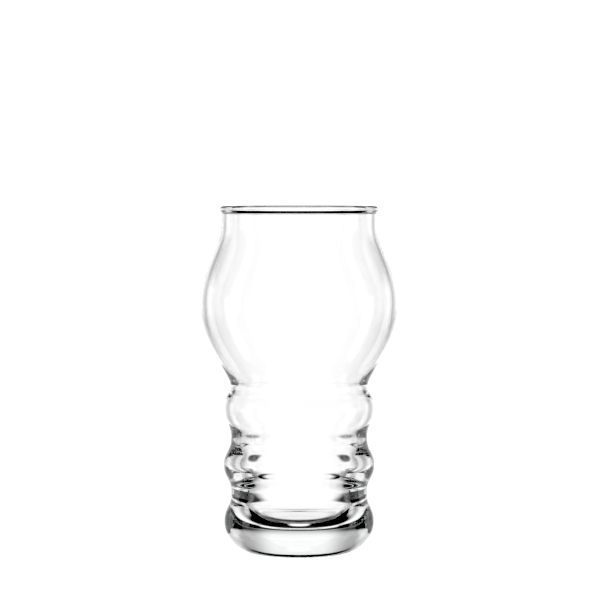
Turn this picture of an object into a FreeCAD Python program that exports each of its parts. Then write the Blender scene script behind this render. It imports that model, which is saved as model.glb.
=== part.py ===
"""Pint glass: one continuous piece of clear pressed-and-blown glass.

Millimetres. The origin is the centre of the base on the surface that the glass stands on,
and +Z is the axis of revolution, up through the mouth. The whole glass is one closed section
turned about +Z: the foot, two rings, a narrow waist, a wide bulb and a straight neck with a
beaded rim outside, and inside a wall that thickens from the rim down to a heavy base.
"""

import FreeCAD, Part
import os

# overall
HEIGHT = 156.0              # base plane to the top of the rim
FULL_TURN = 360.0

# underside: a flat stand ring around a very shallow hollow
STAND_RING_INNER_R = 17.5
STAND_RING_OUTER_R = 20.5
PUNT_DEPTH = 0.5            # how far the centre of the underside is hollowed
PUNT_REACH = 8.0            # how far the hollow's level centre reaches outwards
HEEL_REACH = 6.5            # how far the stand ring's level runs out into the rounded heel

# Each station of a wall is a crest or a hollow, where the wall is upright:
# height, radius, and how far the curve follows the upright below and above it.
OUTER_WALL = (
    (13.5, 33.8, 6.5, 7.2),      # foot
    (26.3, 30.6, 5.4, 7.4),      # hollow above the foot
    (39.3, 34.0, 5.6, 6.0),      # lower ring
    (52.0, 30.7, 6.4, 6.0),      # hollow between the rings
    (65.0, 34.1, 5.2, 6.4),      # upper ring
    (75.6, 31.0, 5.6, 4.2),      # waist
    (113.0, 44.5, 17.6, 13.6),   # bulb
    (147.0, 34.9, 9.4, 3.0),     # neck
    (152.9, 34.85, 2.5, 0.25),   # crease under the rim
    (154.7, 35.6, 1.0, 0.72),    # bead of the rim
)
INNER_WALL = (
    (20.0, 24.0, 7.0, 3.0),      # foot of the bowl, above the rounded floor
    (30.0, 22.4, 5.0, 3.0),      # hollow behind the narrowing above the foot
    (40.0, 27.4, 3.0, 4.0),      # shoulder behind the lower ring
    (51.5, 27.2, 3.7, 4.5),      # hollow between the rings
    (65.0, 31.4, 5.0, 4.6),      # widening behind the upper ring
    (75.6, 28.6, 4.5, 3.5),      # waist
    (113.0, 41.8, 22.0, 13.0),   # bulb
    (147.0, 33.0, 10.0, 3.0),    # neck
    (154.7, 33.0, 3.0, 0.72),    # inside of the rim's bead
)
FLOOR_HEIGHT = 12.0         # top of the bowl's level floor
FLOOR_FLAT_R = 12.0         # radius of the level floor
FLOOR_CORNER_REACH = 8.0    # how far the floor's level runs out into the rounded corner
RIM_TOP_R = 34.3            # radius of the rim's highest circle
RIM_REACH = 0.72            # how far the rim's top stays level on each side


def point(radius, height):
    """A point of the section, which lies in the XZ plane."""
    return FreeCAD.Vector(radius, 0.0, height)


def curve(*poles):
    """One smooth edge of the section, from its first pole to its last."""
    bezier = Part.BezierCurve()
    bezier.setPoles(list(poles))
    return bezier.toShape()


def line(start, end):
    return Part.LineSegment(start, end).toShape()


def wall(stations):
    """The edges that join the stations of a wall, from the lowest to the highest."""
    edges = []
    for lower, upper in zip(stations, stations[1:]):
        height_0, radius_0, _, above = lower
        height_1, radius_1, below, _ = upper
        edges.append(curve(
            point(radius_0, height_0),
            point(radius_0, height_0 + above),
            point(radius_1, height_1 - below),
            point(radius_1, height_1),
        ))
    return edges


def underside():
    """The shallow hollow and the stand ring."""
    hollow = curve(
        point(0.0, PUNT_DEPTH),
        point(PUNT_REACH, PUNT_DEPTH),
        point(STAND_RING_INNER_R - HEEL_REACH, 0.0),
        point(STAND_RING_INNER_R, 0.0),
    )
    ring = line(point(STAND_RING_INNER_R, 0.0), point(STAND_RING_OUTER_R, 0.0))
    return [hollow, ring]


def heel():
    """The rounded edge from the stand ring up to the foot's widest circle."""
    foot_height, foot_radius, below, _ = OUTER_WALL[0]
    return curve(
        point(STAND_RING_OUTER_R, 0.0),
        point(STAND_RING_OUTER_R + HEEL_REACH, 0.0),
        point(foot_radius, foot_height - below),
        point(foot_radius, foot_height),
    )


def rim():
    """The rounded top of the rim, from the bead over to the inner wall."""
    bead_height, bead_radius, _, above = OUTER_WALL[-1]
    neck_height, neck_radius, _, inner_above = INNER_WALL[-1]
    outer_half = curve(
        point(bead_radius, bead_height),
        point(bead_radius, bead_height + above),
        point(RIM_TOP_R + RIM_REACH, HEIGHT),
        point(RIM_TOP_R, HEIGHT),
    )
    inner_half = curve(
        point(RIM_TOP_R, HEIGHT),
        point(RIM_TOP_R - RIM_REACH, HEIGHT),
        point(neck_radius, neck_height + inner_above),
        point(neck_radius, neck_height),
    )
    return [outer_half, inner_half]


def floor():
    """The rounded corner below the inner wall and the bowl's level floor."""
    height, radius, below, _ = INNER_WALL[0]
    corner = curve(
        point(radius, height),
        point(radius, height - below),
        point(FLOOR_FLAT_R + FLOOR_CORNER_REACH, FLOOR_HEIGHT),
        point(FLOOR_FLAT_R, FLOOR_HEIGHT),
    )
    return [corner, line(point(FLOOR_FLAT_R, FLOOR_HEIGHT), point(0.0, FLOOR_HEIGHT))]


def glass_body():
    edges = underside() + [heel()] + wall(OUTER_WALL) + rim() + wall(INNER_WALL) + floor()
    edges.append(line(point(0.0, FLOOR_HEIGHT), point(0.0, PUNT_DEPTH)))
    section = Part.Face(Part.Wire(Part.__sortEdges__(edges)))
    return section.revolve(FreeCAD.Vector(0, 0, 0), FreeCAD.Vector(0, 0, 1), FULL_TURN)


os.makedirs("parts", exist_ok=True)
body = glass_body()
body.exportStep(os.path.join("parts", "glass_body.step"))
print("glass_body", "valid:", body.isValid(), "volume mm3:", round(body.Volume, 1), "box:", body.BoundBox)
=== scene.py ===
"""Pint glass: clear glass turned about +Z, on a plain white floor in a studio of soft panels.

The glass repeats the section of the CAD solid that it replaces, in millimetres. The stage and the
camera are in metres. The glass stands on z = 0, and the camera looks along +Y.
"""

import math

import bpy
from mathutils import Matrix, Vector

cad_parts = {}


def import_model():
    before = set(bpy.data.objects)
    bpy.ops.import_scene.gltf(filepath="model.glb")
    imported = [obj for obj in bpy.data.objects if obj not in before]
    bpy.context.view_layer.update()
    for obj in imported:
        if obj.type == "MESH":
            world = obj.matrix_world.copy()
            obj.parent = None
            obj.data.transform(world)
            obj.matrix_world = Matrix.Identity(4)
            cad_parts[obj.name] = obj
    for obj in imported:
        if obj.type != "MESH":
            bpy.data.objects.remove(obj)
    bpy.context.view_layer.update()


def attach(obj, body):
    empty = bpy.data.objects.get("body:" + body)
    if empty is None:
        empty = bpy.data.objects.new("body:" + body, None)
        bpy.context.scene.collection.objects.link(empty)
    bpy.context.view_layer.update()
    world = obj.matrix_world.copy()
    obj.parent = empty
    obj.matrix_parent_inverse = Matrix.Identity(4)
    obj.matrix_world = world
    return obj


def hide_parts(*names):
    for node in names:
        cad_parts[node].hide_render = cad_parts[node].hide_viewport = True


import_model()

MM = 0.001
WHITE = (1.0, 1.0, 1.0, 1.0)

# ---------------------------------------------------------------------------------------------
# Shape of the glass, in millimetres
# ---------------------------------------------------------------------------------------------
HEIGHT = 156.0              # base plane to the top of the rim

# underside: a flat stand ring around a very shallow hollow
STAND_RING_INNER_R = 17.5
STAND_RING_OUTER_R = 20.5
PUNT_DEPTH = 0.5            # how far the centre of the underside is hollowed
PUNT_REACH = 8.0            # how far the hollow's level centre reaches outwards
HEEL_REACH = 6.5            # how far the stand ring's level runs out into the rounded heel

# Each station of a wall is a crest or a hollow, where the wall is upright:
# height, radius, and how far the curve follows the upright below and above it.
OUTER_WALL = (
    (13.5, 33.8, 6.5, 7.2),      # foot
    (26.3, 30.6, 5.4, 7.4),      # hollow above the foot
    (39.3, 34.0, 5.6, 6.0),      # lower ring
    (52.0, 30.7, 6.4, 6.0),      # hollow between the rings
    (65.0, 34.1, 5.2, 6.4),      # upper ring
    (75.6, 31.0, 5.6, 4.2),      # waist
    (113.0, 44.5, 17.6, 13.6),   # bulb
    (147.0, 34.9, 9.4, 3.0),     # neck
    (152.9, 34.85, 2.5, 0.25),   # crease under the rim
    (154.7, 35.6, 1.0, 0.72),    # bead of the rim
)
INNER_WALL = (
    (20.0, 24.0, 7.0, 3.0),      # foot of the bowl, above the rounded floor
    (30.0, 22.4, 5.0, 3.0),      # hollow behind the narrowing above the foot
    (40.0, 27.4, 3.0, 4.0),      # shoulder behind the lower ring
    (51.5, 27.2, 3.7, 4.5),      # hollow between the rings
    (65.0, 31.4, 5.0, 4.6),      # widening behind the upper ring
    (75.6, 28.6, 4.5, 3.5),      # waist
    (113.0, 41.8, 22.0, 13.0),   # bulb
    (147.0, 33.0, 10.0, 3.0),    # neck
    (154.7, 33.0, 3.0, 0.72),    # inside of the rim's bead
)
BOWL_FLOOR_HEIGHT = 12.0    # top of the bowl's level floor
BOWL_FLOOR_FLAT_R = 12.0    # radius of the level floor
BOWL_FLOOR_REACH = 8.0      # how far the floor's level runs out into the rounded corner
RIM_TOP_R = 34.3            # radius of the rim's highest circle
RIM_REACH = 0.72            # how far the rim's top stays level on each side

SEGMENTS = 192              # facets around the axis
STEPS = 14                  # points along each curve of the section
CORNER_STEPS = 2 * STEPS    # points along the heel and the bowl's corner, which turn the most

# ---------------------------------------------------------------------------------------------
# Material of the glass
# ---------------------------------------------------------------------------------------------
GLASS_IOR = 1.52
GLASS_TINT = (0.49, 0.52, 0.51, 1.0)
GLASS_DENSITY = 5.2                 # per metre, on the light that the tint leaves out

# the faint waviness that forming and fire polishing leave on the skin of the glass
WAVE_SCALE = 90.0                   # waves per metre, round the glass
WAVE_STRETCH = (1.0, 1.0, 0.45)     # longer up the wall than round it
WAVE_DETAIL = 2.0
WAVE_HEIGHT = 0.00003               # metres

# ---------------------------------------------------------------------------------------------
# Studio: soft white panels in the world, with dark gaps between them
# ---------------------------------------------------------------------------------------------
STUDIO_LIGHT = 1.2                  # brightness of a panel at its full share

# A panel is the product of two bands, one around the glass and one up and down. A band is a
# row of stops: (angle in degrees, share of the full light). Around, 0 is straight behind the
# glass, on +Y, and both sides are alike. Up and down, 0 is level and -90 is straight down.

# the wide panel behind the glass
BEHIND = (
    (0.0, 1.0), (12.0, 1.0), (32.0, 0.5), (38.0, 0.52), (46.0, 0.8), (56.0, 0.75), (60.0, 0.0),
)
BEHIND_UP_AND_DOWN = ((-40.0, 0.0), (-33.0, 1.0), (7.0, 1.0), (11.0, 0.0))
# a narrow strip on each side
SIDES = ((81.5, 0.0), (83.0, 0.84), (97.0, 0.84), (98.5, 0.0))
SIDES_UP_AND_DOWN = ((-44.0, 0.0), (-38.0, 1.0), (5.0, 1.0), (7.0, 0.0))
# the room behind the camera, from a little above level down to straight below
FRONT = ((112.0, 0.0), (122.0, 0.86))
FRONT_UP_AND_DOWN = ((5.0, 1.0), (10.0, 0.0))
# a round light straight below, the same all the way round
BELOW = ((-82.0, 1.0), (-76.0, 0.0))

# ---------------------------------------------------------------------------------------------
# Floor, camera and look
# ---------------------------------------------------------------------------------------------
FLOOR_SIZE = 40.0                   # metres
FLOOR_DROP = 0.00005                # metres under the stand ring, so that no faces coincide
FLOOR_COLOUR = (0.9, 0.9, 0.9, 1.0)
FLOOR_LIGHT = 1.15                  # the floor's own light, which makes it plain white

CAMERA_DISTANCE = 1.2364            # metres from the axis
CAMERA_HEIGHT = 0.16455             # metres, a little above the rim
PITCH_DOWN = math.radians(2.35301)
YAW_RIGHT = math.radians(0.018751)
LENS_MM = 165.0
SENSOR_WIDTH_MM = 36.0
CLIP_START = 0.01                   # metres
CLIP_END = 100.0                    # metres

BLACK_POINT = 0.04                  # light as faint as this or fainter prints black
BOUNCES = 20                        # a ray crosses the walls of the glass many times


def curve(p0, p1, p2, p3, steps=STEPS):
    """Points of a cubic curve after its first point."""
    points = []
    for step in range(1, steps + 1):
        t = step / steps
        s = 1.0 - t
        weights = (s ** 3, 3 * s * s * t, 3 * s * t * t, t ** 3)
        points.append(tuple(
            sum(w * p[axis] for w, p in zip(weights, (p0, p1, p2, p3))) for axis in (0, 1)
        ))
    return points


def wall(stations):
    """Points of a wall after its lowest station, going up."""
    points = []
    for (z0, r0, _, above), (z1, r1, below, _) in zip(stations, stations[1:]):
        points += curve((r0, z0), (r0, z0 + above), (r1, z1 - below), (r1, z1))
    return points


def underside():
    """Points of the shallow hollow and the stand ring, from the centre outwards."""
    hollow = curve((0.0, PUNT_DEPTH), (PUNT_REACH, PUNT_DEPTH),
                   (STAND_RING_INNER_R - HEEL_REACH, 0.0), (STAND_RING_INNER_R, 0.0))
    return [(0.0, PUNT_DEPTH)] + hollow + [(STAND_RING_OUTER_R, 0.0)]


def heel():
    """Points of the rounded edge from the stand ring up to the foot's widest circle."""
    foot_z, foot_r, foot_below, _ = OUTER_WALL[0]
    return curve((STAND_RING_OUTER_R, 0.0), (STAND_RING_OUTER_R + HEEL_REACH, 0.0),
                 (foot_r, foot_z - foot_below), (foot_r, foot_z), CORNER_STEPS)


def rim():
    """Points of the rounded top of the rim, from the bead over to the inner wall."""
    bead_z, bead_r, _, bead_above = OUTER_WALL[-1]
    neck_z, neck_r, _, neck_above = INNER_WALL[-1]
    outer_half = curve((bead_r, bead_z), (bead_r, bead_z + bead_above),
                       (RIM_TOP_R + RIM_REACH, HEIGHT), (RIM_TOP_R, HEIGHT))
    inner_half = curve((RIM_TOP_R, HEIGHT), (RIM_TOP_R - RIM_REACH, HEIGHT),
                       (neck_r, neck_z + neck_above), (neck_r, neck_z))
    return outer_half + inner_half


def bowl():
    """Points of the inner wall from the rim down, then its corner and floor to the centre."""
    foot_z, foot_r, foot_below, _ = INNER_WALL[0]
    going_up = [(foot_r, foot_z)] + wall(INNER_WALL)
    going_down = going_up[-2::-1]       # without its top point, where the rim ends
    corner = curve((foot_r, foot_z), (foot_r, foot_z - foot_below),
                   (BOWL_FLOOR_FLAT_R + BOWL_FLOOR_REACH, BOWL_FLOOR_HEIGHT),
                   (BOWL_FLOOR_FLAT_R, BOWL_FLOOR_HEIGHT), CORNER_STEPS)
    halfway = (BOWL_FLOOR_FLAT_R / 2, BOWL_FLOOR_HEIGHT)
    return going_down + corner + [halfway, (0.0, BOWL_FLOOR_HEIGHT)]


def glass_section():
    """The section from the centre of the underside round to the centre of the bowl's floor."""
    return underside() + heel() + wall(OUTER_WALL) + rim() + bowl()


def lathe(name, section, material):
    """A closed smooth mesh of the section turned about +Z."""
    verts, rings, faces = [], [], []
    for radius, height in section:
        if radius == 0.0:
            rings.append([len(verts)])
            verts.append((0.0, 0.0, height * MM))
            continue
        rings.append(range(len(verts), len(verts) + SEGMENTS))
        for i in range(SEGMENTS):
            angle = 2.0 * math.pi * i / SEGMENTS
            verts.append((radius * MM * math.cos(angle), radius * MM * math.sin(angle),
                          height * MM))
    for lower, upper in zip(rings, rings[1:]):
        for i in range(SEGMENTS):
            j = (i + 1) % SEGMENTS
            if len(lower) == 1:
                faces.append((lower[0], upper[j], upper[i]))
            elif len(upper) == 1:
                faces.append((lower[i], lower[j], upper[0]))
            else:
                faces.append((lower[i], lower[j], upper[j], upper[i]))
    mesh = bpy.data.meshes.new(name)
    mesh.from_pydata(verts, [], faces)
    mesh.validate()
    mesh.update()
    mesh.materials.append(material)
    mesh.polygons.foreach_set("use_smooth", [True] * len(mesh.polygons))
    piece = bpy.data.objects.new(name, mesh)
    bpy.context.collection.objects.link(piece)
    return piece


def new_material(name):
    """A new material, and the shader that it starts with."""
    material = bpy.data.materials.new(name)
    material.use_nodes = True
    return material, material.node_tree.nodes["Principled BSDF"]


def clear_glass():
    """Clear glass with a faint tint through its thickness and a faintly wavy skin."""
    material, shader = new_material("clear_glass")
    nodes, links = material.node_tree.nodes, material.node_tree.links
    shader.inputs["Base Color"].default_value = WHITE
    shader.inputs["Roughness"].default_value = 0.0
    shader.inputs["IOR"].default_value = GLASS_IOR
    shader.inputs["Transmission Weight"].default_value = 1.0
    absorption = nodes.new("ShaderNodeVolumeAbsorption")
    absorption.inputs["Color"].default_value = GLASS_TINT
    absorption.inputs["Density"].default_value = GLASS_DENSITY
    links.new(absorption.outputs["Volume"], nodes["Material Output"].inputs["Volume"])

    place = nodes.new("ShaderNodeMapping")
    place.inputs["Scale"].default_value = WAVE_STRETCH
    links.new(nodes.new("ShaderNodeTexCoord").outputs["Object"], place.inputs["Vector"])
    waves = nodes.new("ShaderNodeTexNoise")
    waves.inputs["Scale"].default_value = WAVE_SCALE
    waves.inputs["Detail"].default_value = WAVE_DETAIL
    links.new(place.outputs["Vector"], waves.inputs["Vector"])
    bump = nodes.new("ShaderNodeBump")
    bump.inputs["Strength"].default_value = 1.0
    bump.inputs["Distance"].default_value = WAVE_HEIGHT
    links.new(waves.outputs["Fac"], bump.inputs["Height"])
    links.new(bump.outputs["Normal"], shader.inputs["Normal"])
    return material


def world():
    """The studio's panels, placed by direction. Where two overlap, the brighter one counts."""
    studio = bpy.data.worlds.new("studio")
    bpy.context.scene.world = studio
    studio.use_nodes = True
    nodes, links = studio.node_tree.nodes, studio.node_tree.links

    def math_node(operation, *values):
        """The result of an operation on numbers and sockets."""
        node = nodes.new("ShaderNodeMath")
        node.operation = operation
        for socket, value in zip(node.inputs, values):
            if isinstance(value, float):
                socket.default_value = value
            else:
                links.new(value, socket)
        return node.outputs[0]

    def band(angle, stops):
        """The share at an angle: smooth from stop to stop, and level beyond the end stops."""
        total = stops[0][1]
        for (start, share), (end, next_share) in zip(stops, stops[1:]):
            if share == next_share:
                continue
            step = nodes.new("ShaderNodeMapRange")
            step.interpolation_type = "SMOOTHSTEP"
            links.new(angle, step.inputs["Value"])
            step.inputs["From Min"].default_value = math.radians(start)
            step.inputs["From Max"].default_value = math.radians(end)
            step.inputs["To Min"].default_value = 0.0
            step.inputs["To Max"].default_value = next_share - share
            total = math_node("ADD", total, step.outputs[0])
        return total

    direction = nodes.new("ShaderNodeSeparateXYZ")
    links.new(nodes.new("ShaderNodeTexCoord").outputs["Generated"], direction.inputs[0])
    turn = math_node("ARCTAN2", direction.outputs["X"], direction.outputs["Y"])
    azimuth = math_node("ABSOLUTE", turn)
    elevation = math_node("ARCSINE", direction.outputs["Z"])
    light = band(elevation, BELOW)
    for around, up_and_down in (
        (BEHIND, BEHIND_UP_AND_DOWN),
        (SIDES, SIDES_UP_AND_DOWN),
        (FRONT, FRONT_UP_AND_DOWN),
    ):
        panel = math_node("MULTIPLY", band(azimuth, around), band(elevation, up_and_down))
        light = math_node("MAXIMUM", light, panel)
    background = nodes["Background"]
    background.inputs["Color"].default_value = WHITE
    links.new(math_node("MULTIPLY", light, STUDIO_LIGHT), background.inputs["Strength"])


def floor():
    """A plain white floor that the camera sees and the glass doesn't.

    The glass neither refracts nor reflects it: what it shows from below is the studio's panels.
    """
    material, shader = new_material("pale_floor")
    shader.inputs["Base Color"].default_value = FLOOR_COLOUR
    shader.inputs["Roughness"].default_value = 1.0
    shader.inputs["Emission Color"].default_value = WHITE
    shader.inputs["Emission Strength"].default_value = FLOOR_LIGHT
    bpy.ops.mesh.primitive_plane_add(size=FLOOR_SIZE)
    plane = bpy.context.object
    plane.name = "floor"
    plane.location.z = -FLOOR_DROP
    plane.data.materials.append(material)
    plane.visible_transmission = False
    plane.visible_glossy = False
    return plane


def camera():
    """A long lens in front of the glass, just above its rim and looking a little down."""
    data = bpy.data.cameras.new("camera")
    data.lens = LENS_MM
    data.sensor_width = SENSOR_WIDTH_MM
    data.clip_start = CLIP_START
    data.clip_end = CLIP_END
    cam = bpy.data.objects.new("camera", data)
    bpy.context.collection.objects.link(cam)
    cam.location = (0.0, -CAMERA_DISTANCE, CAMERA_HEIGHT)
    direction = Vector((math.sin(YAW_RIGHT) * math.cos(PITCH_DOWN),
                        math.cos(YAW_RIGHT) * math.cos(PITCH_DOWN),
                        -math.sin(PITCH_DOWN)))
    cam.rotation_euler = direction.to_track_quat("-Z", "Y").to_euler()
    bpy.context.scene.camera = cam


def look():
    """Standard colours, with faint light printed black, and enough bounces for the glass."""
    scene = bpy.context.scene
    scene.view_settings.view_transform = "Standard"
    scene.view_settings.use_curve_mapping = True
    mapping = scene.view_settings.curve_mapping
    mapping.black_level = (BLACK_POINT, BLACK_POINT, BLACK_POINT)
    mapping.update()
    scene.cycles.max_bounces = BOUNCES
    scene.cycles.transmission_bounces = BOUNCES
    scene.cycles.glossy_bounces = BOUNCES


glass = lathe("pint_glass", glass_section(), clear_glass())
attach(glass, "root")
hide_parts("glass_body")
stage_floor = floor()
world()
camera()
look()
